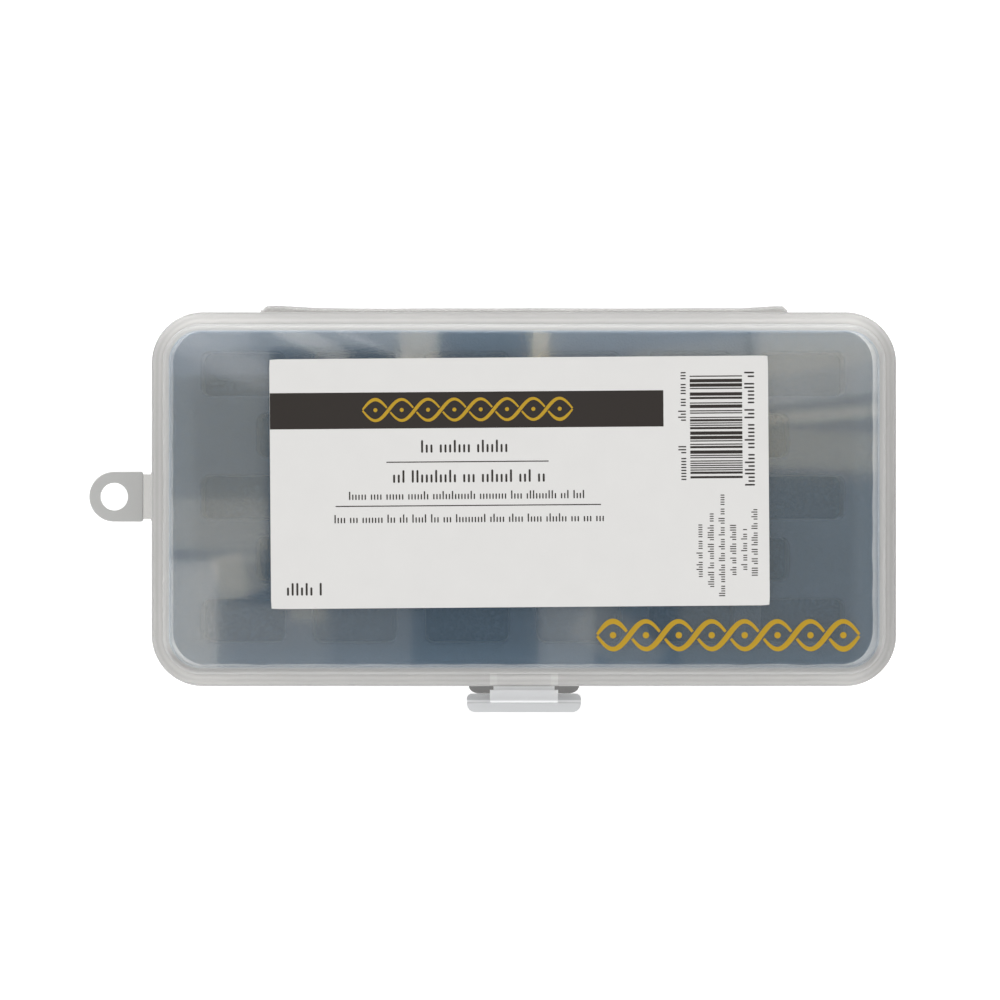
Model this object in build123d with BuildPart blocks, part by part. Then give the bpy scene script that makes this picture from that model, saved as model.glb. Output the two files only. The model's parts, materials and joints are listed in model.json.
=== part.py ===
from build123d import *

import os

# Bobbin storage box: a shallow clamshell case moulded in one piece from natural polypropylene,
# with a foam insert whose slots each grip one sewing machine bobbin on edge.
# Millimetres. +X runs along the length, to the right of someone facing the latch.
# +Y points to the back, where the lid hinges, and +Z points up.
# The origin is the centre of the flat face that the closed case stands on.

# Case seen from above
rim_length = 178.0  # over the flanges, along X
rim_width = 89.4  # over the flanges, along Y
rim_corner = 12.2  # radius of the flanges' corners
cavity_length = 170.0  # inside of the base at its mouth
cavity_width = 82.0
lid_wall_inset = 3.0  # from the flange's edge to the outside of the lid's wall

# Wall thicknesses and small radii of the moulding
wall = 1.3
floor = 1.3
lid_wall = 1.2
lid_panel = 1.2
flange = 1.4
draft = 1.0  # degrees that every wall leans, so that the case leaves its mould
edge_round = 0.4  # along the flanges' edges
foot_round = 2.0  # where the base's wall meets its floor, outside
panel_round = 1.3  # along the raised panel's upper edge
root_round = 0.4  # in the corner where the lid's wall rises from its flange

# Heights
base_height = 19.5  # top face of the base's flange
parting_gap = 0.2
lid_depth = 8.0
lid_bottom = base_height + parting_gap
lid_top = lid_bottom + lid_depth
hinge_height = base_height + parting_gap / 2

# Bead round the base's flange, and the groove over it in the lid's flange
bead_inset = 1.5
bead_width = 0.8
bead_height = 0.75
groove_clearance = 0.2
groove_depth = 0.8

# Living hinge along the back: a film folded into a half circle while the lid is shut
back_film_length = 126.0
back_film_thickness = 0.36
back_film_reach = 1.03  # how far the shut film stands out behind the rim

# Latch: a strap that hangs from the lid's front edge, with a wide finger plate and its nose
strap_width = 16.3
strap_thickness = 1.0
strap_top = 21.4
strap_bend_height = 18.2  # height of the centre that the strap bends round
strap_foot = 16.5  # where the strap ends, inside the plate
strap_round = 0.3  # along the strap's outer edges
rail_width = 1.1  # stiffening rail under each edge of the strap
rail_depth = 0.35
latch_film_width = 14.6
latch_film_length = 0.9
latch_film_thickness = 0.3
plate_width = 27.4
plate_reach = 6.5  # finger lip's edge, out from the rim
nose_reach = 1.95  # nose's edge, out from the rim
plate_top = 17.2
plate_thickness = 1.1
lip_drop = 0.9  # the lip's edge lies this much lower than the nose
lip_bend = 4.3  # out from the rim, where the lip starts to fall
plate_outer_corner = 2.1
plate_inner_corner = 1.2
plate_edge_round = 0.15
pad_depth = 4.0  # the latch's root on the lid's flange, which runs into the lid's wall
pad_low = 20.2

# Catch ledge on the base's flange, over the latch's nose
ledge_width = 26.4
ledge_end = 2.5  # length of each curved end
ledge_reach = 1.8
ledge_low = 17.6

# Hang tab on the left end, folded out flat
tab_shift = 0.6  # toward the hinge from the middle of the end
tab_radius = 6.0
eye_radius = 3.3
eye_out = 9.1  # eye's centre, out from the rim
tab_low = 18.2
tab_thickness = 1.2
tab_corner = 0.6
tab_round = 0.3
tab_root_width = 12.4
tab_film_width = 10.7
tab_film_thickness = 0.4
tab_film_start = 0.4  # out from the rim
tab_film_end = 2.2

# Foam insert: a slotted block laminated on an uncut backing sheet
foam_length = 168.0
foam_width = 80.4
foam_corner = 7.8
foam_shift = (-0.4, 0.35)  # it lies a little to the left and toward the hinge
backing_thickness = 3.0
block_thickness = 14.7
foam_round = 0.6  # along the block's upper edge
slot_length = 20.1
slot_width = 10.5
slot_corner = 2.2
slot_pitch = 26.8
row_pitch = 14.8
slots_in_rows = (6, 5, 6, 5, 6)

# Paper label on the lid
label_length = 119.0
label_width = 60.0
label_thickness = 0.12
label_place = (-1.2, 4.1)
label_turn = 0.4  # degrees: it was stuck on a little askew

# Worked out from the above
rim_left = -rim_length / 2
rim_front = -rim_width / 2
rim_back = rim_width / 2
cavity_corner = rim_corner - (rim_length - cavity_length) / 2
lid_body_length = rim_length - 2 * lid_wall_inset
lid_body_width = rim_width - 2 * lid_wall_inset
lid_body_corner = rim_corner - lid_wall_inset
block_low = floor + backing_thickness
eye_x = rim_left - eye_out
tab_end_x = rim_left - tab_film_end

# Section planes at the front and back rims: X points straight out from the rim, Y points up
front_section = Plane(origin=(0, rim_front, 0), x_dir=(0, -1, 0), z_dir=(-1, 0, 0))
back_section = Plane(origin=(0, rim_back, 0), x_dir=(0, 1, 0), z_dir=(1, 0, 0))

os.makedirs("parts", exist_ok=True)


def outline_at(part, height):
    """The outer edges of the largest level face of a part at a height."""
    level = part.faces().filter_by(Plane.XY).filter_by_position(Axis.Z, height, height)
    return level.sort_by(SortBy.AREA)[-1].outer_wire().edges()


# Base tray: drafted walls under a flange with a bead, a catch ledge and the hang tab's root
with BuildPart() as base_tray:
    with BuildSketch(Plane.XY.offset(base_height)):
        RectangleRounded(cavity_length + 2 * wall, cavity_width + 2 * wall, cavity_corner + wall)
    extrude(amount=-base_height, taper=draft)
    fillet(base_tray.edges().group_by(Axis.Z)[0], radius=foot_round)
    with BuildSketch(Plane.XY.offset(base_height - flange)):
        RectangleRounded(rim_length, rim_width, rim_corner)
    extrude(amount=flange)
    flange_edges = outline_at(base_tray, base_height) + outline_at(base_tray, base_height - flange)
    fillet(flange_edges, radius=edge_round)
    with BuildSketch(Plane.XY.offset(base_height)):
        RectangleRounded(cavity_length, cavity_width, cavity_corner)
    extrude(amount=floor - base_height, taper=draft, mode=Mode.SUBTRACT)
    with BuildSketch(Plane.XY.offset(base_height)):
        RectangleRounded(
            rim_length - 2 * bead_inset, rim_width - 2 * bead_inset, rim_corner - bead_inset
        )
        offset(amount=-bead_width, mode=Mode.SUBTRACT)
    extrude(amount=bead_height)
    # The ledge is longest at the rim, and each end curves in toward its front edge
    with BuildSketch(Plane.XY.offset(ledge_low)):
        with Locations((0, rim_front - ledge_reach / 2)):
            Rectangle(ledge_width - 2 * ledge_end, ledge_reach)
        with Locations(
            (ledge_width / 2 - ledge_end, rim_front), (ledge_end - ledge_width / 2, rim_front)
        ):
            Ellipse(ledge_end, ledge_reach)
    extrude(amount=base_height - ledge_low)
    # The tab's root narrows from the rim to the width of the film
    with BuildSketch(Plane.XY.offset(tab_low)):
        with BuildLine():
            Polyline(
                (rim_left + wall, tab_shift - tab_root_width / 2),
                (rim_left, tab_shift - tab_root_width / 2),
                (rim_left - tab_film_start, tab_shift - tab_film_width / 2),
                (rim_left - tab_film_start, tab_shift + tab_film_width / 2),
                (rim_left, tab_shift + tab_root_width / 2),
                (rim_left + wall, tab_shift + tab_root_width / 2),
                close=True,
            )
        make_face()
    extrude(amount=tab_thickness)
base_tray.part.label = "base_tray"
export_step(base_tray.part, "parts/base_tray.step")

# Lid: a raised panel on a grooved flange, with the latch's root on the front of the flange
with BuildPart() as lid:
    with BuildSketch(Plane.XY.offset(lid_bottom)):
        RectangleRounded(lid_body_length, lid_body_width, lid_body_corner)
    extrude(amount=lid_depth, taper=draft)
    fillet(lid.edges().group_by(Axis.Z)[-1], radius=panel_round)
    with BuildSketch(Plane.XY.offset(lid_bottom)):
        RectangleRounded(rim_length, rim_width, rim_corner)
    extrude(amount=flange)
    flange_face = lid.faces().filter_by(Plane.XY).filter_by_position(
        Axis.Z, lid_bottom + flange, lid_bottom + flange
    )[0]
    fillet(flange_face.inner_wires()[0].edges(), radius=root_round)
    fillet(outline_at(lid, lid_bottom) + outline_at(lid, lid_bottom + flange), radius=edge_round)
    with BuildSketch(Plane.XY.offset(pad_low)):
        with Locations((0, rim_front + pad_depth / 2)):
            Rectangle(strap_width, pad_depth)
    extrude(amount=strap_top - pad_low)
    with BuildSketch(Plane.XY.offset(lid_bottom)):
        RectangleRounded(
            lid_body_length - 2 * lid_wall, lid_body_width - 2 * lid_wall, lid_body_corner - lid_wall
        )
    extrude(amount=lid_depth - lid_panel, taper=draft, mode=Mode.SUBTRACT)
    with BuildSketch(Plane.XY.offset(lid_bottom)):
        groove_inset = bead_inset - groove_clearance
        RectangleRounded(
            rim_length - 2 * groove_inset, rim_width - 2 * groove_inset, rim_corner - groove_inset
        )
        offset(amount=-bead_width - 2 * groove_clearance, mode=Mode.SUBTRACT)
    extrude(amount=groove_depth, mode=Mode.SUBTRACT)
lid.part.label = "lid"
export_step(lid.part, "parts/lid.step")

# Back hinge film: half a tube between the two flanges, as it lies while the lid is shut
with BuildPart() as back_hinge_film:
    with BuildSketch(back_section):
        with BuildLine():
            outside = CenterArc((0, hinge_height), back_film_reach, -90, 180)
            inside = CenterArc((0, hinge_height), back_film_reach - back_film_thickness, -90, 180)
            Line(outside @ 0, inside @ 0)
            Line(outside @ 1, inside @ 1)
        make_face()
    extrude(amount=back_film_length / 2, both=True)
back_hinge_film.part.label = "back_hinge_film"
export_step(back_hinge_film.part, "parts/back_hinge_film.step")

# Latch hinge film: the thin web that lets the strap swing up from the lid's edge
with BuildPart() as latch_hinge_film:
    with BuildSketch(front_section):
        with Locations((latch_film_length / 2, strap_top - latch_film_thickness)):
            Rectangle(latch_film_length, latch_film_thickness)
    extrude(amount=latch_film_width / 2, both=True)
latch_hinge_film.part.label = "latch_hinge_film"
export_step(latch_hinge_film.part, "parts/latch_hinge_film.step")

# Front latch: a strap that bends down over the ledge, and a wide plate from nose to finger lip
with BuildPart() as front_latch:
    plate_low = plate_top - plate_thickness - lip_drop
    with BuildSketch(Plane.XY.offset(plate_low)) as plate_plan:
        with Locations((0, rim_front - (plate_reach + nose_reach) / 2)):
            Rectangle(plate_width, plate_reach - nose_reach)
        fillet(plate_plan.vertices().group_by(Axis.Y)[0], radius=plate_outer_corner)
        fillet(plate_plan.vertices().group_by(Axis.Y)[-1], radius=plate_inner_corner)
    extrude(amount=plate_top - plate_low)
    with BuildSketch(front_section) as plate_section:
        with BuildLine():
            Polyline(
                (nose_reach, plate_top),
                (lip_bend, plate_top),
                (plate_reach, plate_top - lip_drop),
                (plate_reach, plate_low),
                (lip_bend, plate_top - plate_thickness),
                (nose_reach + plate_thickness, plate_top - plate_thickness),
                (nose_reach, plate_top - plate_thickness / 2),
                close=True,
            )
        make_face()
        fillet(plate_section.vertices(), radius=plate_edge_round)
    extrude(amount=plate_width / 2, both=True, mode=Mode.INTERSECT)
    bend_radius = strap_top - strap_bend_height
    with BuildSketch(front_section):
        with BuildLine():
            outer_bend = CenterArc((latch_film_length, strap_bend_height), bend_radius, 0, 90)
            inner_bend = CenterArc(
                (latch_film_length, strap_bend_height), bend_radius - strap_thickness, 0, 90
            )
            Line(outer_bend @ 1, inner_bend @ 1)
            Polyline(
                outer_bend @ 0,
                (latch_film_length + bend_radius, strap_foot),
                (latch_film_length + bend_radius - strap_thickness, strap_foot),
                inner_bend @ 0,
            )
        make_face()
    extrude(amount=strap_width / 2, both=True)
    # A rail thickens the strap along each edge, on the inside
    for side in (-1, 1):
        with BuildSketch(front_section.offset(side * (strap_width - rail_width) / 2)):
            with BuildLine():
                rail_radius = bend_radius - strap_thickness - rail_depth
                outer_rail = CenterArc(
                    (latch_film_length, strap_bend_height), bend_radius - strap_thickness / 2, 0, 90
                )
                inner_rail = CenterArc((latch_film_length, strap_bend_height), rail_radius, 0, 90)
                Line(outer_rail @ 0, inner_rail @ 0)
                Line(outer_rail @ 1, inner_rail @ 1)
            make_face()
        extrude(amount=rail_width / 2, both=True)
    bends = front_latch.edges().filter_by(GeomType.CIRCLE)
    fillet(bends.filter_by(lambda bend: abs(bend.radius - bend_radius) < 0.01), radius=strap_round)
front_latch.part.label = "front_latch"
export_step(front_latch.part, "parts/front_latch.step")

# Hang tab: a round-ended tongue with an eye for a peg
with BuildPart() as hang_tab:
    with BuildSketch(Plane.XY.offset(tab_low)) as tab_plan:
        with Locations((eye_x, tab_shift)):
            Circle(tab_radius)
        with Locations(((eye_x + tab_end_x) / 2, tab_shift)):
            Rectangle(tab_end_x - eye_x, 2 * tab_radius)
        fillet(tab_plan.vertices().group_by(Axis.X)[-1], radius=tab_corner)
    extrude(amount=tab_thickness)
    fillet(
        outline_at(hang_tab, tab_low) + outline_at(hang_tab, tab_low + tab_thickness),
        radius=tab_round,
    )
    with Locations((eye_x, tab_shift, tab_low + tab_thickness)):
        Hole(eye_radius, depth=tab_thickness)
hang_tab.part.label = "hang_tab"
export_step(hang_tab.part, "parts/hang_tab.step")

# Hang tab film: the thin web that the tab folds down on
with BuildPart() as hang_tab_film:
    with BuildSketch(Plane.XY.offset(tab_low)):
        with Locations((rim_left - (tab_film_start + tab_film_end) / 2, tab_shift)):
            Rectangle(tab_film_end - tab_film_start, tab_film_width)
    extrude(amount=tab_film_thickness)
hang_tab_film.part.label = "hang_tab_film"
export_step(hang_tab_film.part, "parts/hang_tab_film.step")

# Foam backing: the uncut sheet under the slots
with BuildPart() as foam_backing:
    with BuildSketch(Plane.XY.offset(floor)):
        with Locations(foam_shift):
            RectangleRounded(foam_length, foam_width, foam_corner)
    extrude(amount=backing_thickness)
foam_backing.part.label = "foam_backing"
export_step(foam_backing.part, "parts/foam_backing.step")

# Foam block: rows of slots, each row set half a pitch aside from the next
with BuildPart() as foam_block:
    with BuildSketch(Plane.XY.offset(block_low)):
        with Locations(foam_shift):
            RectangleRounded(foam_length, foam_width, foam_corner)
    extrude(amount=block_thickness)
    fillet(outline_at(foam_block, block_low + block_thickness), radius=foam_round)
    with BuildSketch(Plane.XY.offset(block_low)):
        for row, count in enumerate(slots_in_rows):
            row_rise = (row - (len(slots_in_rows) - 1) / 2) * row_pitch
            with Locations((foam_shift[0], foam_shift[1] + row_rise)):
                with GridLocations(slot_pitch, row_pitch, count, 1):
                    RectangleRounded(slot_length, slot_width, slot_corner)
    extrude(amount=block_thickness, mode=Mode.SUBTRACT)
foam_block.part.label = "foam_block"
export_step(foam_block.part, "parts/foam_block.step")

# Label: a plain paper rectangle on the raised panel
with BuildPart() as label:
    with BuildSketch(Plane.XY.offset(lid_top)):
        with Locations(Location((*label_place, 0), (0, 0, label_turn))):
            Rectangle(label_length, label_width)
    extrude(amount=label_thickness)
label.part.label = "label"
export_step(label.part, "parts/label.step")
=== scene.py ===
"""A clamshell box for sewing machine bobbins, dressed for a studio picture from straight above.

The case is one moulding of natural polypropylene with film hinges, round a foam insert with rows of
slots. A paper label and a gold printed border lie on the lid. All lengths are in metres, apart from
those in the tables that say mm.
"""

import json
import math
from functools import partial

import bpy
import numpy as np
from bpy.props import FloatProperty, FloatVectorProperty, PointerProperty
from bpy.types import NodeSocket, Operator, Panel, PropertyGroup
from mathutils import Matrix, Vector


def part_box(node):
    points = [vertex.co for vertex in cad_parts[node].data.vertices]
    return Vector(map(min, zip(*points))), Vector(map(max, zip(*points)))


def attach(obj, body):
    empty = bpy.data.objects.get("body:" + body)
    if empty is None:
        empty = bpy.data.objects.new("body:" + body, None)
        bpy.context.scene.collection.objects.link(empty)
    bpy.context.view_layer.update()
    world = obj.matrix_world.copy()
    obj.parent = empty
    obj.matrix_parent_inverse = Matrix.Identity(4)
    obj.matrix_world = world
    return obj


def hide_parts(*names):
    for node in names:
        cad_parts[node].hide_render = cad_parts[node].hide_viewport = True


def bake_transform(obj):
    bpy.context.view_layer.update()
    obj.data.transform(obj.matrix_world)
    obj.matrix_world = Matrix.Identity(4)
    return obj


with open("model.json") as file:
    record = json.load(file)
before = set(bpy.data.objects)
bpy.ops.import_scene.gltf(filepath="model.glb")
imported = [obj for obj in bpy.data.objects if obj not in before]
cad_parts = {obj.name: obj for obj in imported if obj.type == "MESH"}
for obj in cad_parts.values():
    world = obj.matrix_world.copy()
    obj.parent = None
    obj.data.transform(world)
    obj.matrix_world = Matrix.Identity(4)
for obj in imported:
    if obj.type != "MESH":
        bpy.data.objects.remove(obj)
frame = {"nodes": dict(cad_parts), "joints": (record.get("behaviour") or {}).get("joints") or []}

bl_info = {
    "name": "Bobbin box",
    "version": (1, 0, 0),
    "blender": (4, 5, 0),
    "location": "View3D > Sidebar > Bobbin box",
    "description": "Finishes, foam, film hinges, label and print of a clamshell bobbin box",
    "category": "Add Mesh",
}

MM = 0.001
JOINTS = {joint["name"]: joint for joint in frame["joints"]}

# Where the frame's own pieces lie
LID_LOW, LID_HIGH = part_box("lid")
BLOCK_LOW, BLOCK_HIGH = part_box("foam_block")
BACKING_LOW, BACKING_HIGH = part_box("foam_backing")
BACK_FILM_LOW, BACK_FILM_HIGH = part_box("back_hinge_film")
LATCH_FILM_LOW, LATCH_FILM_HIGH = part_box("latch_hinge_film")
LABEL_LOW, LABEL_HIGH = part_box("label")
# The foam sits a little to the right of the frame's and behind it, and the label a little askew, as
# in the photo
FOAM_MIDDLE = (BLOCK_LOW + BLOCK_HIGH) / 2 + Vector((0.16 * MM, 0.05 * MM, 0.0))
LABEL_MIDDLE = (LABEL_LOW + LABEL_HIGH) / 2 + Vector((0.1 * MM, -0.1 * MM, 0.0))
LABEL_TURN, SHARP_TURN = 0.45, 40  # degrees
# The glue's thickness keeps the paper's lower face off the lid's upper one
GLUE = 0.015 * MM
SLOTS_IN_ROWS = (6, 5, 6, 5, 6)
# How far, and over what lengths, the foam's cut walls waver and its top sags
WAVER, WAVER_LENGTH, SAG, SAG_LENGTH = 0.06 * MM, 9 * MM, 0.07 * MM, 30 * MM
RIM_HALF_WIDTH, RIM_CORNER = 44.7 * MM, 12.2 * MM
STRAP_MIDDLE = (LATCH_FILM_LOW.x + LATCH_FILM_HIGH.x) / 2
STRAP_HALF = 8.15  # mm
WEB_DIP = 0.08 * MM
# Spans in mm in from the back film's ends, over which its bulge gives way and it opens out
LEFT_BULGE, RIGHT_BULGE = (3.0, 14.0), (2.0, 12.0)
LEFT_OPENING, RIGHT_OPENING = (-0.4, 1.6), (-0.4, 1.0)
FILM_WAVE, FILM_WAVE_LENGTH = 0.05 * MM, 30 * MM

# The case's plastic: haze of the thin panel, milk of the lid's wall, scattering, rings of the rim
PANEL_HAZE, EDGE_HAZE, WALL_MILK = 0.045, 0.06, 0.14
BLUE_SCATTER = (0.36, 0.68, 1.0, 1.0)
WARM_SCATTER = (0.83, 0.83, 0.82, 1.0)
# The rim's rings: the painted shade that darkens the scattered colour between the flange's steps, their
# pitch, and the depth of their bump
RING_PAINTED_SHADE, RING_PITCH, RING_DEPTH = 0.87, 1.3 * MM, 0.02 * MM
# Painted light: its share at the rim's edge, and what the root of the latch's strap adds to it
EDGE_PAINTED_SHADE, ROOT_LIGHT = 0.8, 0.2
# Spans over which the lid changes, in mm in from the rim's outline
RIM_EDGE, RINGS_END, PANEL_START = (0.05, 0.55), (3.4, 4.4), (6.5, 12.0)
WALL_START, WALL_END, BLUE_START = (3.3, 3.8), (4.3, 5.4), (4.3, 5.6)
# Shades painted by place, because thin clear walls here gather less light than real ones: an axis,
# the span on it in mm, and the share of light at the span's start and end. The first two tables go
# by the inset from the rim's outline, and say what is taken from the light.
CORNER_SHADES = ((None, (2.6, 2.9), 0.0, 0.15), (None, (3.3, 3.7), 1.0, 0.0))
FRONT_SHADES = ((None, WALL_START, 0.0, 0.25), (None, (5.0, 5.6), 1.0, 0.0))
SIDE_SHADES = (
    ("X", (-86.0, -78.0), 0.94, 1.0),
    ("X", (78.0, 86.0), 1.0, 0.86),
    ("Y", (34.0, 42.0), 1.0, 1.13),
    ("Y", (43.4, 44.5), 1.0, 0.9),
)
FILM_SHADES = (("Y", (44.9, 45.9), 1.35, 1.2),)
LEDGE_SHADES = (("Y", (-44.8, -44.6), 0.35, 1.0),)
WALL_SHADES = (
    ("Y", (-40.0, -36.0), 0.8, 1.0),
    ("Y", (36.0, 40.0), 1.0, 0.88),
    ("X", (78.0, 82.0), 1.0, 1.12),
)
STRAP_SHADES = (("Y", (-48.1, -45.3), 0.8, 1.2),)
LIP_SHADES = (("Y", (-48.8, -48.6), 0.9, 1.2),)
# Spans in mm: where the tray's flange gives way to its walls, the lid's front edge, the front of the
# rim that the strap is moulded on, and the latch's strap to its plate
BELOW_FLANGE, FRONT_PANEL = (17.0, 17.6), (-38.0, -34.0)
ROOT_FRONT, PLATE_START = (-41.6, -41.2), (-48.3, -48.1)

# What is printed on the label, from its middle: the rules' middles, lengths and widths
RULES = (
    ((-12.3 * MM, 5.0 * MM), 38.5 * MM, 0.25 * MM),
    ((-12.2 * MM, -5.4 * MM), 63.0 * MM, 0.25 * MM),
)
# Rows of strokes in mm: middle, length, height, and whether the row stands upright
WORD_ROWS = (
    ((-12.3, 8.7), 22.0, 3.0, False),
    ((-12.0, 1.6), 36.0, 3.0, False),
    ((-12.0, -2.9), 57.0, 2.0, False),
    ((-12.0, -8.4), 64.0, 2.0, False),
    ((-51.0, -25.0), 8.8, 3.0, False),
    ((38.7, 20.3), 12.0, 1.9, True),
    ((38.7, 4.4), 8.3, 1.9, True),
    ((54.7, 12.3), 27.0, 2.4, True),
    ((42.6, -16.3), 13.0, 1.5, True),
    ((45.3, -16.2), 18.0, 1.5, True),
    ((47.9, -14.9), 25.0, 1.5, True),
    ((50.6, -16.4), 12.0, 1.5, True),
    ((53.2, -16.2), 10.0, 1.5, True),
    ((55.7, -14.6), 16.0, 1.5, True),
)
# The strokes' spacing and width over the row's height, how high they reach, and how many stand
# together at least and how often a space follows
STROKE_PITCH, STROKE_WIDTH, STROKE_REACHES = 0.37, 0.16, (0.65, 0.65, 0.65, 1.0)
WORD_LEAST, SPACE_CHANCE = 3, 0.3
# The black band's right end and middle height
BAND_RIGHT, BAND_Y = 34.3 * MM, 17.3 * MM
# The block of bars: its lower left corner, the bars' length, and the width of one step
BARS_LOW, BARS_WIDTH = (40.6 * MM, 0.6 * MM), 12.4 * MM
BAR_STEP, BAR_COUNT = 0.265 * MM, 30
# The gold borders' left ends, middle heights, lengths, half heights and loops
LABEL_BORDER = (-37.2 * MM, 17.4 * MM, 50 * MM, 2.5 * MM, 8)
LID_BORDER = (17.2 * MM, -32.3 * MM, 62.5 * MM, 3.3 * MM, 8)
LID_STRAND = 1.6  # times the label's

# What the camera looks at
CAMERA_X, CAMERA_Y, AIM_HEIGHT = -5.73 * MM, -0.2 * MM, LID_LOW.z + 1 * MM
# The soft box behind: width and height, place, and turn in degrees
SOFT_BOX = ((1.6, 0.35), (-0.3, 1.7, 0.65), (-69, 0, -10))
# How steeply up the light tent starts and ends to dim, and the share of its light left there
ROOF_SPAN, ROOF_SHARE = (0.6, 0.96), 0.1
# Overhead lamps as they show in the lid: middle, width and height in mm, turn in degrees, share of
# light, and how warm, from 0 to 1
OVERHEAD_LAMPS = (
    (-25.0, 42.5, 9.0, 23.7, 0, 1.18, 0.6),
    (3.8, 42.5, 4.0, 23.7, 0, 1.57, 0.9),
    (-59.1, 42.1, 59.4, 11.9, 0, 0.62, 0.1),
    (-77.0, 41.3, 23.7, 11.9, 0, 0.31, 0.2),
    (-70.3, 32.6, 26.6, 6.6, -25, 0.27, 0.0),
    (-50.4, 37.1, 19.0, 4.3, -27, 0.81, 0.4),
    (-36.6, 36.8, 19.0, 1.2, -22, 0.90, 0.2),
    (29.4, 41.3, 46.5, 17.6, 0, 0.46, 0.1),
    (57.9, 34.5, 65.3, 10.4, 9, 0.25, 1.0),
    (69.5, 34.0, 29.7, 20.4, 7, 0.59, 0.2),
    (70.2, 20.2, 29.7, 2.8, 4, 0.81, 0.7),
    (70.2, 11.7, 29.7, 9.5, -3, 0.36, 0.9),
    (70.2, 22.4, 29.7, 35.6, -2, 0.25, 1.0),
    (84.5, -0.2, 11.9, 85.5, 0, 0.10, 0.0),
    (63.1, -19.2, 52.2, 47.5, 0, 0.15, 1.0),
    (-83.6, 8.8, 10.4, 41.5, 0, 0.13, 0.0),
    (-74.8, 8.8, 28.0, 41.5, 0, 0.37, 0.9),
    (-74.8, -7.3, 28.0, 15.2, 0, 0.31, 0.5),
    (-74.8, 32.6, 28.0, 6.2, 0, 0.68, 0.1),
    (-81.2, -28.9, 16.6, 28.0, 0, 1.03, 0.4),
    (-69.6, -18.5, 7.1, 10.4, 12, 0.84, 0.8),
    (-64.1, -17.3, 4.3, 9.5, 12, 0.44, 0.9),
    (-59.6, -33.4, 26.6, 16.6, 0, 0.35, 0.4),
    (-51.3, -26.6, 8.5, 4.7, 0, 0.32, 1.0),
    (-36.4, -33.4, 19.9, 16.6, 0, 0.22, 0.3),
    (-27.6, -40.1, 90.2, 6.6, 0, 0.06, 0.0),
    (9.9, -33.4, 13.3, 16.6, 0, 0.40, 0.3),
    (22.3, -33.4, 21.4, 11.4, -38, 0.23, 0.6),
    (-9.3, 42.5, 22.0, 23.7, 0, 0.14, 0.0),
)


def linear(hex_colour):
    """An sRGB hex colour as linear red, green and blue, with an alpha of 1."""
    parts = [int(hex_colour[i : i + 2], 16) / 255 for i in (1, 3, 5)]
    curve = [c / 12.92 if c <= 0.04045 else ((c + 0.055) / 1.055) ** 2.4 for c in parts]
    return (*curve, 1.0)


def toned(colour, share):
    """A colour with a share of its light."""
    return (*(share * part for part in colour[:3]), 1.0)


def length_property(name, description, millimetres):
    """A length that a user may change, shown in the scene's unit."""
    return FloatProperty(
        name=name, description=description, default=millimetres * MM, unit="LENGTH", precision=5
    )


def colour_property(name, description, hex_colour):
    """A colour that a user may change."""
    kind = {"size": 4, "subtype": "COLOR", "min": 0.0, "max": 1.0}
    return FloatVectorProperty(name=name, description=description, default=linear(hex_colour), **kind)


# Numpy surfaces


def square_loop(across, along):
    """Points round the edge of the square from -1 to 1, anticlockwise from its lower left corner.

    Its sides have that many even steps along X and along Y, and no point comes twice.
    """
    x, y = np.linspace(-1, 1, across + 1), np.linspace(-1, 1, along + 1)
    sides = [
        np.column_stack([x[:-1], -np.ones(across)]),
        np.column_stack([np.ones(along), y[:-1]]),
        np.column_stack([x[:0:-1], np.ones(across)]),
        np.column_stack([-np.ones(along), y[:0:-1]]),
    ]
    return np.concatenate(sides)


def rounded(square, half, corner):
    """Points of a square's edge carried to a rectangle with round corners.

    Each point is scaled to the rectangle, moved to the nearest point of the same rectangle shrunk by
    the corner radius, and set out again by that radius along the line between the two.
    """
    half = np.asarray(half)
    scaled = square * half
    inner = np.clip(scaled, corner - half, half - corner)
    out = scaled - inner
    return inner + corner * out / np.linalg.norm(out, axis=-1, keepdims=True)


def at_height(plan, z):
    """Points of a plan with a height."""
    return np.column_stack([plan, np.full(len(plan), z)])


def grid_faces(rows, columns, close=False):
    """Quads between neighbouring points of a grid. close joins the last column to the first."""
    index = np.arange(rows * columns).reshape(rows, columns)
    if close:
        index = np.concatenate([index, index[:, :1]], axis=1)
    corners = [index[:-1, :-1], index[:-1, 1:], index[1:, 1:], index[1:, :-1]]
    return np.stack(corners, -1).reshape(-1, 4)


def joined(*parts):
    """Several (points, faces) pairs as one."""
    starts = np.cumsum([0] + [len(points) for points, _ in parts[:-1]])
    points = np.concatenate([points for points, _ in parts])
    return points, np.concatenate([faces + start for (_, faces), start in zip(parts, starts)])


def welded(points, faces):
    """Points that share a place to a micrometre made one, without the quads that this closes up."""
    _, first, same = np.unique(
        np.round(points / (MM / 1000)).astype(np.int64), axis=0, return_index=True, return_inverse=True
    )
    faces = same.reshape(-1)[faces]
    flat = (faces == np.roll(faces, 1, axis=1)).any(axis=1)
    return points[first], faces[~flat]


def outward(points, faces):
    """Faces turned so that the closed surface holds a positive volume."""
    a, b, c, d = (points[faces[:, i]] for i in range(4))
    volume = (a * np.cross(b, c)).sum() + (a * np.cross(c, d)).sum()
    return faces if volume > 0 else faces[:, ::-1]


def waves(points, spacing, seed, count=8):
    """A smooth unevenness of about -1 to 1: sines of random direction and phase, added up."""
    rng = np.random.default_rng(seed)
    angle, tilt = rng.uniform(0, 2 * np.pi, count), rng.uniform(-0.4, 0.4, count)
    rate = 2 * np.pi / (spacing * rng.uniform(0.7, 1.5, count))
    ways = np.column_stack([np.cos(angle), np.sin(angle), tilt]) * rate[:, None]
    return np.sin(points @ ways.T + rng.uniform(0, 2 * np.pi, count)).sum(-1) / math.sqrt(count)


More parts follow.
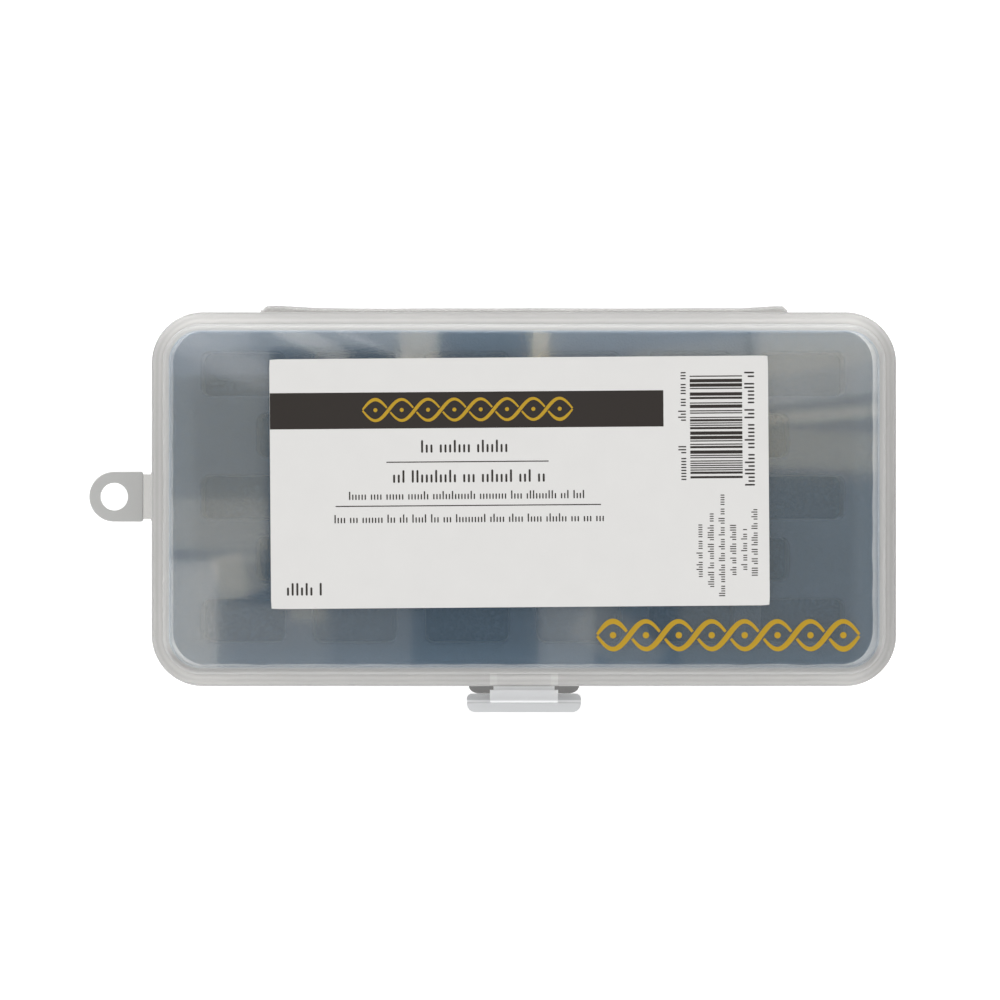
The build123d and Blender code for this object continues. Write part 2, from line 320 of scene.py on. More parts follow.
def mesh_piece(name, points, faces, material):
    """An object at the origin from arrays of points and quads, smooth where it turns gently."""
    mesh = bpy.data.meshes.new(name)
    mesh.from_pydata(points.tolist(), [], outward(points, faces).tolist())
    mesh.polygons.foreach_set("use_smooth", np.ones(len(mesh.polygons), bool))
    mesh.set_sharp_from_angle(angle=math.radians(SHARP_TURN))
    mesh.materials.append(material)
    mesh.validate()
    piece = bpy.data.objects.new(name, mesh)
    bpy.context.scene.collection.objects.link(piece)
    return piece


def loop_place(square):
    """How far round the square's edge each point lies, from 0 at the lower left corner to 8."""
    x, y = square[:, 0], square[:, 1]
    sides = [y <= -1 + 1e-9, x >= 1 - 1e-9, y >= 1 - 1e-9]
    return np.select(sides, [x + 1, y + 3, 5 - x], default=7 - y)


def outline_rings(square, half, corner, profile):
    """Rings of a rectangle with round corners, one for each inset and height of a profile."""
    return [at_height(rounded(square, half - inset, corner - inset), z) for inset, z in profile]


def slab(half, corner, low, high, chamfer, across, along):
    """A closed slab with round corners and narrow chamfers, in even steps along X and along Y.

    Both ends are closed by a grid: a point at share s of the way from the middle to the edge is s
    times the edge's point, set about the ring's middle.
    """
    square = square_loop(across, along)
    profile = ((chamfer, high), (0.0, high - chamfer), (0.0, low + chamfer), (chamfer, low))
    rings = np.stack(outline_rings(square, half, corner, profile))
    u, v = np.meshgrid(np.linspace(-1, 1, across + 1), np.linspace(-1, 1, along + 1))
    reach = np.maximum(np.abs(u), np.abs(v)).ravel()
    way = np.column_stack([u.ravel(), v.ravel()]) / np.maximum(reach, 1e-9)[:, None]
    # The edge point that each grid point lies toward, found between the loop's own points
    count = len(square)
    nearest = np.interp(loop_place(way), np.append(loop_place(square), 8), np.arange(count + 1))
    before = nearest.astype(int) % count
    part = (nearest - nearest.astype(int))[:, None]
    caps = []
    for ring in (rings[0], rings[-1]):
        edge = ring[before] * (1 - part) + ring[(before + 1) % count] * part
        middle = ring.mean(0)
        caps.append((middle + (edge - middle) * reach[:, None], grid_faces(*u.shape)))
    caps[1] = (caps[1][0], caps[1][1][:, ::-1])
    sides = (rings.reshape(-1, 3), grid_faces(len(rings), count, close=True))
    return welded(*joined(sides, *caps))


# Shaders


def add_node(tree, kind, inputs=None, out=0, **settings):
    """One node with its own settings and inputs. It gives back the output that is asked for.

    An input is linked where a socket is given for it, and otherwise holds the value.
    """
    made = tree.nodes.new("ShaderNode" + kind)
    for name, value in settings.items():
        setattr(made, name, value)
    for name, source in (inputs or {}).items():
        if isinstance(source, NodeSocket):
            tree.links.new(source, made.inputs[name])
        else:
            made.inputs[name].default_value = source
    return made.outputs[out] if len(made.outputs) else made


def empty_tree(owner):
    """The emptied node tree of a material or world, as the function that adds a node to it."""
    owner.use_nodes = True
    owner.node_tree.nodes.clear()
    return partial(add_node, owner.node_tree)


def eased(add, source, span, low, high, axis=None, unit=MM):
    """A value that goes from low to high in an S while its source crosses a span in the unit.

    The source is a value, or a point with the axis that counts.
    """
    if axis:
        source = add("SeparateXYZ", {"Vector": source}, axis)
    ends = {"From Min": span[0] * unit, "From Max": span[1] * unit, "To Min": low, "To Max": high}
    return add("MapRange", {"Value": source, **ends}, interpolation_type="SMOOTHSTEP")


def product(add, *values):
    """Several values multiplied."""
    made, *others = values
    for value in others:
        made = add("Math", {0: made, 1: value}, operation="MULTIPLY")
    return made


def shaded(add, place, shades):
    """How much light a table of shades leaves at a place."""
    return product(add, *(eased(add, place, span, low, high, axis) for axis, span, low, high in shades))


def rim_inset(add, place):
    """How far in from the rim's outline a point lies, seen from above.

    The outline is a rectangle with round corners. With q = |p| - half + corner, the inset is
    corner - |max(q, 0)| - min(max(q.x, q.y), 0).
    """
    plan = {1: (1.0, 1.0, 0.0), 2: (-(LID_HIGH.x + LID_LOW.x) / 2, 0.0, 0.0)}
    straight = ((LID_HIGH.x - LID_LOW.x) / 2 - RIM_CORNER, RIM_HALF_WIDTH - RIM_CORNER, 0.0)
    centred = add("VectorMath", {0: place, **plan}, operation="MULTIPLY_ADD")
    size = add("VectorMath", {0: centred}, operation="ABSOLUTE")
    q = add("VectorMath", {0: size, 1: straight}, operation="SUBTRACT")
    outside = add("VectorMath", {0: q, 1: (0.0, 0.0, 0.0)}, operation="MAXIMUM")
    far = add("VectorMath", {0: outside}, "Value", operation="LENGTH")
    x, y = (add("SeparateXYZ", {"Vector": q}, axis) for axis in "XY")
    nearer = add("Math", {0: x, 1: y}, operation="MAXIMUM")
    inside = add("Math", {0: nearer, 1: 0.0}, operation="MINIMUM")
    reach = add("Math", {0: far, 1: inside}, operation="ADD")
    return add("Math", {0: RIM_CORNER, 1: reach}, operation="SUBTRACT")


def rim_rings(add, inset):
    """A ripple across the rim from -1 to 1, from the flange's steps: a cosine of the inset."""
    wave = {0: inset, 1: 2 * math.pi / RING_PITCH, 2: -math.pi}
    turn = add("Math", wave, operation="MULTIPLY_ADD")
    ripple = add("Math", {0: turn}, operation="COSINE")
    return product(add, ripple, eased(add, inset, RINGS_END, 1.0, 0.0))


def lid_hollow_shade(add, place, inset):
    """How much light painted shade leaves in the corner of flange and wall and at the panel's front
    edge.
    """
    panel = eased(add, place, FRONT_PANEL, 1.0, 0.0, "Y")
    front = product(add, shaded(add, inset, FRONT_SHADES), panel)
    corner = shaded(add, inset, CORNER_SHADES)
    shade = add("Math", {0: corner, 1: front}, operation="ADD")
    return add("Math", {0: 1.0, 1: shade}, operation="SUBTRACT")


def strap_root_light(add, place):
    """How much more painted light the rim gets where the latch's strap is moulded on, most at its
    sides.
    """
    x = add("SeparateXYZ", {"Vector": place}, "X")
    centred = add("Math", {0: x, 1: STRAP_MIDDLE}, operation="SUBTRACT")
    aside = add("Math", {0: centred}, operation="ABSOLUTE")
    whole = eased(add, aside, (STRAP_HALF - 0.1, STRAP_HALF + 0.1), ROOT_LIGHT, 0.0)
    inside = eased(add, aside, (STRAP_HALF - 1.9, STRAP_HALF - 1.5), -0.5 * ROOT_LIGHT, 0.0)
    both = add("Math", {0: whole, 1: inside}, operation="ADD")
    front = eased(add, place, ROOT_FRONT, 1.0, 0.0, "Y")
    return add("Math", {0: both, 1: front, 2: 1.0}, operation="MULTIPLY_ADD")


def painted_light_by_place(add, place, kind):
    """How much of the studio's light is painted into the plastic: less at the ends, more behind.

    The tray's ledge lies in painted shade, and its walls get less painted light in front and behind.
    The films get more painted light, the back film less at its outer side. The latch's strap is
    painted palest at its root, its lower end and the hollow of the plate beside it lie in painted
    shade, and a painted highlight runs along the bend where the strap meets the plate.
    """
    painted_light = shaded(add, place, SIDE_SHADES)
    if kind == "film":
        return product(add, painted_light, shaded(add, place, FILM_SHADES))
    if kind == "latch":
        plate = eased(add, place, PLATE_START, 1.0, 0.0, "Y")
        strap, lip = shaded(add, place, STRAP_SHADES), shaded(add, place, LIP_SHADES)
        return product(add, painted_light, add("Mix", {0: plate, 2: strap, 3: lip}))
    if kind == "tray":
        below = eased(add, place, BELOW_FLANGE, 1.0, 0.0, "Z")
        walls = add("Mix", {0: below, 2: 1.0, 3: shaded(add, place, WALL_SHADES)})
        return product(add, painted_light, walls, shaded(add, place, LEDGE_SHADES))
    return painted_light


def polypropylene(name, tint, clear, satin, lets_lamps, milk_share, passed_on=0.0, kind=""):
    """Natural polypropylene, injection moulded in a polished tool.

    Its crystals scatter light, more of the blue, so the thin panel looks a hazy blue over something
    dark, and walls and flanges, where light has a longer way, a warm milky grey. clear is the share
    of light that goes straight in, satin the roughness of the blur, milk_share the share scattered in
    walls and flanges, and passed_on how much of that comes out behind. lets_lamps is the share of a
    lamp's light that reaches what lies inside. Painted light and shade by place scale its colour: the
    kind lid adds the thin panel, the rings of the rim with their painted shade, painted shade at the
    rim's edge and hollows and painted light at the strap's root, and the kinds tray, latch and film
    their own painted light and shade. The coat is the gloss of the tool's polish. The walls sink a few
    micrometres between cooling lines, which bends reflections a little.
    """
    material = bpy.data.materials.new(name)
    add = empty_tree(material)
    place = add("TexCoord", out="Object")
    flow = add("TexNoise", {"Vector": place, "Scale": 1 / (14 * MM)})
    milk = add("Mix", {0: flow, 6: tint, 7: toned(tint, 0.95)}, 2, data_type="RGBA")
    sink = add("TexNoise", {"Vector": place, "Scale": 1 / (38 * MM), "Detail": 0.0})
    bump = add("Bump", {"Height": sink, "Distance": 0.012 * MM})
    share, scatter = milk_share, WARM_SCATTER[:3]
    painted_light = painted_light_by_place(add, place, kind)
    if kind == "lid":
        inset = rim_inset(add, place)
        rings = rim_rings(add, inset)
        # Painted shade along the rim's outer edge
        edge = eased(add, inset, RIM_EDGE, EDGE_PAINTED_SHADE, 1.0)
        painted_light = product(add, painted_light, edge, strap_root_light(add, place), lid_hollow_shade(add, place, inset))
        milky = eased(add, inset, WALL_START, milk_share, milk_share + WALL_MILK)
        wall = eased(add, inset, WALL_END, 1.0, 0.0)
        haze = eased(add, inset, PANEL_START, EDGE_HAZE, PANEL_HAZE)
        share = add("Math", {0: milky, 1: wall, 2: haze}, operation="MULTIPLY_ADD")
        # The rings paint shade on the scattered colour between the flange's steps, and bend the normals
        # below
        steps = add("Math", {0: rings, 1: 0.5, 2: 0.5}, operation="MULTIPLY_ADD")
        shades = {0: steps, 6: toned(WARM_SCATTER, RING_PAINTED_SHADE), 7: WARM_SCATTER}
        ring_shaded = add("Mix", shades, 2, data_type="RGBA")
        panel = eased(add, inset, BLUE_START, 0.0, 1.0)
        scatter = add("Mix", {0: panel, 6: ring_shaded, 7: BLUE_SCATTER}, 2, data_type="RGBA")
        bump = add("Bump", {"Height": rings, "Normal": bump, "Distance": RING_DEPTH})
    # The milk here and the scattered colour below are both scaled by the painted light and shade
    shader = add(
        "BsdfPrincipled",
        {
            "Base Color": add("VectorMath", {"Vector": milk, "Scale": painted_light}, operation="SCALE"),
            "Roughness": satin,
            "IOR": 1.49,
            "Specular IOR Level": 0.1,
            "Transmission Weight": clear,
            "Coat Weight": 1.0,
            "Coat Roughness": 0.022,
            "Coat IOR": 1.49,
            "Normal": bump,
            "Coat Normal": bump,
        },
    )
    dimmed = add("VectorMath", {"Vector": scatter, "Scale": painted_light}, operation="SCALE")
    front = add("BsdfDiffuse", {"Color": dimmed})
    behind = add("BsdfTranslucent", {"Color": dimmed})
    scattered = add("MixShader", {0: passed_on, 1: front, 2: behind})
    mixed = add("MixShader", {0: share, 1: shader, 2: scattered})
    # Lamps reach what lies inside, as they do through a thin wall that only scatters them
    lamp_ray = add("LightPath", out="Is Shadow Ray")
    open_way = add("BsdfTransparent", {"Color": toned((1.0, 1.0, 1.0), lets_lamps)})
    surface = add("MixShader", {0: lamp_ray, 1: mixed, 2: open_way})
    add("OutputMaterial", {"Surface": surface})
    return material


def closed_cell_foam(name, colour, top):
    """Cross-linked polyethylene foam, skived from a block and die cut.

    Cut cells of about half a millimetre leave small dry pits, whose rims catch the light a little.
    Below its top the cut edges and walls are paler, where the die has torn the cells.
    """
    material = bpy.data.materials.new(name)
    add = empty_tree(material)
    place = add("TexCoord", out="Object")
    cells = add("TexVoronoi", {"Vector": place, "Scale": 1 / (0.6 * MM)})
    patches = add("TexNoise", {"Vector": place, "Scale": 1 / (9 * MM), "Detail": 3.0})
    shades = {0: patches, 6: toned(colour, 0.78), 7: toned(colour, 1.25)}
    shade = add("Mix", shades, 2, data_type="RGBA")
    cut = eased(add, place, (top / MM - 0.45, top / MM - 0.1), 1.35, 1.0, "Z")
    paler = add("VectorMath", {"Vector": shade, "Scale": cut}, operation="SCALE")
    pitted = {0: 0.5, 6: paler, 7: cells}
    rim = add("Mix", pitted, 2, data_type="RGBA", blend_type="MULTIPLY")
    bump = add("Bump", {"Height": cells, "Strength": 0.6, "Distance": 0.12 * MM})
    finish = {"Roughness": 0.75, "IOR": 1.5, "Sheen Weight": 0.15}
    shader = add("BsdfPrincipled", {"Base Color": rim, "Normal": bump, **finish})
    add("OutputMaterial", {"Surface": shader})
    return material


def printed_stock(name, colour, roughness, fibre, metallic=0.0):
    """Coated paper, or ink on it: an even colour, faintly cloudy, with fibres that show as bumps."""
    material = bpy.data.materials.new(name)
    add = empty_tree(material)
    place = add("TexCoord", out="Object")
    cloud = add("TexNoise", {"Vector": place, "Scale": 1 / (6 * MM), "Detail": 4.0})
    shade = add("Mix", {0: cloud, 6: toned(colour, 0.96), 7: colour}, 2, data_type="RGBA")
    fibres = add("TexNoise", {"Vector": place, "Scale": 1 / (0.35 * MM), "Detail": 3.0})
    bump = add("Bump", {"Height": fibres, "Strength": fibre, "Distance": 0.02 * MM})
    finish = {"Roughness": roughness, "IOR": 1.5, "Metallic": metallic}
    shader = add("BsdfPrincipled", {"Base Color": shade, "Normal": bump, **finish})
    add("OutputMaterial", {"Surface": shader})
    return material


def studio_floor(name, colour, glow):
    """A matt white board, lit from below so that the object throws only a faint shadow."""
    material = bpy.data.materials.new(name)
    add = empty_tree(material)
    board = {"Base Color": colour, "Roughness": 0.9, "Specular IOR Level": 0.1}
    light = {"Emission Color": colour, "Emission Strength": glow}
    shader = add("BsdfPrincipled", {**board, **light})
    add("OutputMaterial", {"Surface": shader})
    return material


def dress(node, material):
    """Gives one of the frame's pieces a material in place of all that it has."""
    frame["nodes"][node].data.materials.clear()
    frame["nodes"][node].data.materials.append(material)


# What a user may change


class CaseSettings(PropertyGroup):
    """Sizes and colours of the moulded case."""

    milk: colour_property("Milk", "The case's polypropylene", "#F2F1F0")
    latch_milk: colour_property("Latch milk", "The latch", "#F2F4F7")
    film_milk: colour_property("Film milk", "The film hinges", "#B9B8B6")
    tab_milk: colour_property("Tab milk", "The hang tab", "#C9C9C7")
    film: length_property("Film", "Thickness of the back hinge's film", 0.36)
    bulge: length_property("Bulge", "How far the back film's ends stand out beyond its middle", 0.5)


class FoamSettings(PropertyGroup):
    """Sizes and colours of the foam insert."""

    navy: colour_property("Navy", "The slotted block", "#434E60")
    backing: colour_property("Backing", "The uncut sheet", "#4D5C77")
    length: length_property("Length", "Length of the block along X", 167.72)
    width: length_property("Width", "Width of the block along Y", 80.0)
    slot_length: length_property("Slot length", "Length of a slot along X", 20.1)
    slot_width: length_property("Slot width", "Width of a slot along Y", 10.5)
    slot_corner: length_property("Slot corner", "Radius of a slot's corners", 2.2)
    slot_pitch: length_property("Slot pitch", "From one slot to the next along X", 26.8)
    row_pitch: length_property("Row pitch", "From one row to the next along Y", 14.8)
    outline_corner: length_property("Outline corner", "Radius of the block's corners", 7.8)
    lip: length_property("Lip", "Rounding of the slots' cut edges", 0.6)
    edge: length_property("Edge", "Rounding of the block's outer edge", 1.2)
    bow: length_property("Bow", "How far a slot's walls bow into it halfway down", 0.15)


class LabelSettings(PropertyGroup):
    """Sizes and colours of the label and the lid's print."""

    paper: colour_property("Paper", "The coated paper", "#F0EFED")
    black: colour_property("Black", "The black ink", "#35302D")
    gold: colour_property("Gold", "The gold ink", "#D9AF34")
    length: length_property("Length", "Length of the label", 118.4)
    width: length_property("Width", "Width of the label", 59.3)
    ink: length_property("Ink", "Thickness of an ink film, drawn thicker than real", 0.012)
    band_width: length_property("Band", "Width of the black band along Y", 8.6)
    strand: length_property("Strand", "Width of one strand of the gold border", 0.8)


class StageSettings(PropertyGroup):
    """Camera, floor and light."""

    distance: length_property("Distance", "Camera above the rim", 1000.0)
    view_width: length_property("View width", "Width seen at the rim", 239.1)
    floor: colour_property("Floor", "The floor", "#F4F4F4")
    floor_glow: FloatProperty(name="Floor glow", description="Light from the floor", default=0.6)
    sky: FloatProperty(name="Sky", description="Strength of the light tent", default=1.32)
    key: FloatProperty(name="Key", description="Radiance of the soft box behind", default=1.9)
    overhead: FloatProperty(name="Overhead", description="Radiance of an overhead lamp", default=1.85)
    lamp_height: length_property("Lamp height", "Overhead lamps above the lid", 1600.0)


# Pieces


class BOBBINBOX_OT_case(Operator):
    """Finish the base tray, lid, latch and tab as polished natural polypropylene"""

    bl_idname = "bobbin_box.case"
    bl_label = "Case finish"

    def execute(self, context):
        case = context.scene.bobbin_case
        named = "polypropylene_moulded_"
        dress("base_tray", polypropylene(named + "tray", case.milk, 0.99, 0.1, 0.93, 0.4, 0.6, "tray"))
        dress("lid", polypropylene(named + "lid", case.milk, 0.99, 0.04, 0.93, 0.3, kind="lid"))
        latch = polypropylene(named + "latch", case.latch_milk, 0.4, 0.35, 0.75, 0.3, kind="latch")
        dress("front_latch", latch)
        dress("hang_tab", polypropylene(named + "tab", case.tab_milk, 0.5, 0.3, 0.75, 0.3))
        return {"FINISHED"}


def foam_profile(lip, low, high, bow, steps=6):
    """Offsets from a cut face and heights, from the top of its round lip to the bottom.

    The lip is a quarter circle, and below it the face bows out by a half sine.
    """
    turn = np.linspace(0, np.pi / 2, steps)
    lip_part = np.column_stack([-lip * (1 - np.sin(turn)), high - lip * (1 - np.cos(turn))])
    down = np.linspace(0, 1, steps + 2)[1:]
    wall = np.column_stack([bow * np.sin(np.pi * down), high - lip + (low - high + lip) * down])
    return np.concatenate([lip_part, wall])


def foam_block_surface(foam):
    """The slotted block as one closed surface.

    Round each slot lies a cell of rings: a rectangle on top, drawn in evenly to the slot's outline,
    down the slot's wall and out again below. The cells meet along their rectangles, half cells of
    plain grid fill the short rows' ends, and a border of rings runs out to the block's own outline.
    """
    low, high = BLOCK_LOW.z, BLOCK_HIGH.z
    half_cell = np.array([foam.slot_pitch, foam.row_pitch]) / 2
    half_slot = np.array([foam.slot_length, foam.slot_width]) / 2
    across, along = 40, 22
    square = square_loop(across, along)
    profile = foam_profile(foam.lip, low, high, foam.bow)
    walls = outline_rings(square, half_slot, foam.slot_corner, profile)
    top_edge, bottom_edge = at_height(square * half_cell, high), at_height(square * half_cell, low)
    top = [top_edge * (1 - t) + walls[0] * t for t in (0, 1 / 3, 2 / 3)]
    bottom = [walls[-1] * t + bottom_edge * (1 - t) for t in (1 / 2, 0)]
    cell = np.stack(top + walls + bottom)
    cell_faces = grid_faces(len(cell), len(square), close=True)
    parts = []
    rows, most = len(SLOTS_IN_ROWS), max(SLOTS_IN_ROWS)
    for row, count in enumerate(SLOTS_IN_ROWS):
        rise = (row - (rows - 1) / 2) * foam.row_pitch
        for slot in range(count):
            run = (slot - (count - 1) / 2) * foam.slot_pitch
            parts.append((cell.reshape(-1, 3) + (run, rise, 0), cell_faces))
        if count < most:
            u, v = np.meshgrid(np.linspace(0, 1, across // 2 + 1), np.linspace(-1, 1, along + 1))
            faces = grid_faces(*u.shape)
            for side in (-1, 1):
                plan = np.column_stack(
                    [side * (count + u.ravel()) * half_cell[0], rise + v.ravel() * half_cell[1]]
                )
                for z in (low, high):
                    turned = faces if (z == high) == (side > 0) else faces[:, ::-1]
                    parts.append((at_height(plan, z), turned))
    border_square = square_loop(most * across, rows * along)
    inner = border_square * half_cell * (most, rows)
    half_block = np.array([foam.length, foam.width]) / 2
    profile = foam_profile(foam.edge, low, high, foam.bow) * (-1, 1)
    walls = outline_rings(border_square, half_block, foam.outline_corner, profile)
    top_edge, bottom_edge = at_height(inner, high), at_height(inner, low)
    border = np.stack(
        [top_edge, (top_edge + walls[0]) / 2] + walls + [(walls[-1] + bottom_edge) / 2, bottom_edge]
    )
    faces = grid_faces(len(border), len(border_square), close=True)
    parts.append((border.reshape(-1, 3), faces[:, ::-1]))
    return joined(*parts)


class BOBBINBOX_OT_foam(Operator):
    """Make the slotted foam block and the uncut sheet under it"""

    bl_idname = "bobbin_box.foam"
    bl_label = "Foam insert"

    def execute(self, context):
        foam = context.scene.bobbin_foam
        points, faces = welded(*foam_block_surface(foam))
        lift = (points[:, 2] - BLOCK_LOW.z) / (BLOCK_HIGH.z - BLOCK_LOW.z)
        points[:, :2] += np.array(FOAM_MIDDLE[:2])
        sideways = [waves(points, WAVER_LENGTH, seed) for seed in (3, 4)]
        points[:, :2] += WAVER * np.column_stack(sideways)
        points[:, 2] += np.clip(lift, 0, 1) * SAG * (waves(points, SAG_LENGTH, 5) - 1)
        navy = closed_cell_foam("foam_navy", foam.navy, BLOCK_HIGH.z)
        block = mesh_piece("foam_slotted_block", points, faces, navy)
        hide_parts("foam_block")
        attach(block, "base")
        half, chamfer = np.array([foam.length, foam.width]) / 2, 0.3 * MM
        low, high = BACKING_LOW.z, BACKING_HIGH.z
        points, faces = slab(half, foam.outline_corner, low, high, chamfer, 56, 28)
        points[:, :2] += np.array(FOAM_MIDDLE[:2])
        skin = closed_cell_foam("foam_navy_skin", foam.backing, BACKING_HIGH.z + MM)
        sheet = mesh_piece("foam_backing_sheet", points, faces, skin)
        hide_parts("foam_backing")
        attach(sheet, "base")
        return {"FINISHED"}


def strip(upper, lower):
    """A closed strip between two sheets of points, both given station by station along its length.

    Each station's ring runs along the upper sheet and back along the lower one, and the first and
    last stations are closed between the sheets.
    """
    stations, count = upper.shape[:2]
    rings = np.concatenate([upper, lower[:, ::-1]], axis=1)
    parts = [(rings.reshape(-1, 3), grid_faces(stations, 2 * count, close=True))]
    for end in (0, -1):
        faces = grid_faces(2, count)
        sheets = np.stack([upper[end], lower[end]]).reshape(-1, 3)
        parts.append((sheets, faces[:, ::-1] if end == 0 else faces))
    return welded(*joined(*parts))


def smooth_step(x, start, end):
    """From 0 at start to 1 at end along an S, as 3 t squared less 2 t cubed."""
    t = np.clip((x - start) / (end - start), 0, 1)
    return t * t * (3 - 2 * t)


def back_film_surface(case):
    """The back hinge's film: half an ellipse carried along the back edge.

    Its height is the frame's. Its reach is the frame's in the middle, with a slight wave, and grows
    toward both ends, where the film was stretched, before it closes to the flanges.
    """
    x = np.linspace(BACK_FILM_LOW.x, BACK_FILM_HIGH.x, 253)
    turn = np.linspace(0, np.pi, 17)
    high = (BACK_FILM_HIGH.z - BACK_FILM_LOW.z) / 2
    middle = (BACK_FILM_HIGH.z + BACK_FILM_LOW.z) / 2
    left, right = (x - x[0]) / MM, (x[-1] - x) / MM
    bulging = 2 - smooth_step(left, *LEFT_BULGE) - smooth_step(right, *RIGHT_BULGE)
    wave = waves(np.column_stack([x, 0 * x, 0 * x]), FILM_WAVE_LENGTH, 11)
    reach = high + case.bulge * bulging + FILM_WAVE * wave
    opening = smooth_step(left, *LEFT_OPENING) * smooth_step(right, *RIGHT_OPENING)
    sheets = []
    for inset in (0.0, case.film):
        out = np.maximum(reach * opening, 1.5 * case.film) - inset
        y = LID_HIGH.y + out[:, None] * np.sin(turn)
        z = middle - (high - inset) * np.cos(turn) + 0 * y
        sheets.append(np.stack([x[:, None] + 0 * y, y, z], -1))
    return strip(*sheets)


def web_surface(low, high, along):
    """A flat hinge web between two corners, thinner in the middle across its bend.

    along is the axis that the bend's line runs on, 0 or 1. The upper face sinks as half a sine from
    one side of the bend to the other.
    """
    across = 1 - along
    run = np.linspace(low[along], high[along], 25)
    step = np.linspace(0, 1, 9)
    place = low[across] + (high[across] - low[across]) * step
    sheets = []
    for z in (high.z - WEB_DIP * np.sin(np.pi * step), low.z + 0 * step):
        sheet = np.zeros((len(run), len(step), 3))
        sheet[..., along], sheet[..., across], sheet[..., 2] = run[:, None], place, z
        sheets.append(sheet)
    return strip(*sheets)


class BOBBINBOX_OT_films(Operator):
    """Make the three living hinges as films"""

    bl_idname = "bobbin_box.films"
    bl_label = "Film hinges"

    def execute(self, context):
        case = context.scene.bobbin_case
        named = "polypropylene_flexed_"
        film = polypropylene(named + "film", case.film_milk, 0.9, 0.25, 0.9, 0.1, kind="film")
        web = polypropylene(named + "web", case.latch_milk, 0.3, 0.35, 0.75, 0.4)
        # Piece, the frame's node, its joint, the way from one body to the other, and the plastic
        made = (
            ("back_film", "back_hinge_film", "lid_hinge", (0, 0, 1), film),
            ("latch_web", "latch_hinge_film", "latch_hinge", (0, -1, 0), web),
            ("tab_web", "hang_tab_film", "tab_fold", (-1, 0, 0), film),
        )
        for name, node, joint_name, way, plastic in made:
            joint, (low, high) = JOINTS[joint_name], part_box(node)
            if name == "back_film":
                points, faces = back_film_surface(case)
            else:
                points, faces = web_surface(low, high, along=abs(way[0]))
            piece = mesh_piece(name, points, faces, plastic)
            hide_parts(node)
            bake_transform(piece)
        return {"FINISHED"}


def ribbon(plan, width, low, high):
    """A flat closed ribbon along a line in a plane, between two heights.

    The line's points are set out to both sides by half the width, square to the line.
    """
    ahead = np.gradient(plan, axis=0)
    side = np.column_stack([-ahead[:, 1], ahead[:, 0]]) / np.linalg.norm(ahead, axis=1)[:, None]
    edges = [plan + sign * side * np.reshape(width, (-1, 1)) / 2 for sign in (1, -1)]
    sheets = [np.stack([at_height(edge, z) for edge in edges], 1) for z in (high, low)]
    return strip(*sheets)


def dash(middle, length, width, low, high, upright=False):
    """A straight ribbon with round ends: its width follows a half circle at each end."""
    turn = np.linspace(0, np.pi / 2, 7)[1:]
    turn = turn[::-1] - turn[0] / 2
    end = length / 2 - width / 2 * (1 - np.sin(turn))
    run = np.concatenate([-end, end[::-1]])
    wide = width * np.cos(turn)
    line = np.column_stack([run, 0 * run])
    if upright:
        line = line[:, ::-1] * (-1, 1)
    return ribbon(line + middle, np.concatenate([wide, wide[::-1]]), low, high)


def knotwork(left, middle_y, length, half_height, loops, strand, low, high):
    """A traditional border of two strands that cross over and under, with a dot in each loop.

    The strands are sines of opposite sign. Each is cut short on both sides of every second crossing,
    where the other passes over it, and is widest halfway between the cuts.
    """
    loop, dot = length / loops, 1.2 * strand
    gap, end_gap = 0.5 * strand, 0.1 * strand
    parts = []
    for sign in (1, -1):
        for start in range(-1 if sign > 0 else 0, loops, 2):
            begin, end = max(start, 0), min(start + 2, loops)
            t = np.linspace(0, 1, 24 * (end - begin) + 1)
            ends = (gap if begin > 0 else end_gap, gap if end < loops else end_gap)
            x = begin * loop + ends[0] + t * ((end - begin) * loop - sum(ends))
            y = sign * half_height * np.sin(np.pi * x / loop)
            plan = np.column_stack([left + x, middle_y + y])
            parts.append(ribbon(plan, strand * (0.5 + 0.5 * np.sin(np.pi * t)), low, high))
    for k in range(loops):
        # A dot is a dash that is a hair longer than wide
        parts.append(dash((left + (k + 0.5) * loop, middle_y), 1.001 * dot, dot, low, high))
    return joined(*parts)


def word_row(middle, length, height, low, high, seed, upright=False):
    """Upright strokes in groups, as a designer stands in for a line of words.

    Most strokes are short and some as high as the row, and now and then one is left out for a space
    between words.
    """
    rng = np.random.default_rng(seed)
    width = STROKE_WIDTH * height
    parts = []
    since = 0
    for along in np.arange(-length / 2 + width / 2, length / 2, STROKE_PITCH * height):
        reach = height * rng.choice(STROKE_REACHES)
        since += 1
        if since > WORD_LEAST and rng.random() < SPACE_CHANCE:
            since = 0
            continue
        across = (reach - height) / 2
        offset = np.array((-across, along)) if upright else np.array((along, across))
        parts.append(dash(middle + offset, reach, width, low, high, not upright))
    return parts


def on_label(points):
    """Points about the label's middle, turned and moved to where the label lies."""
    turn = Matrix.Rotation(math.radians(LABEL_TURN), 3, "Z")
    return points @ np.array(turn).T + (LABEL_MIDDLE.x, LABEL_MIDDLE.y, 0.0)


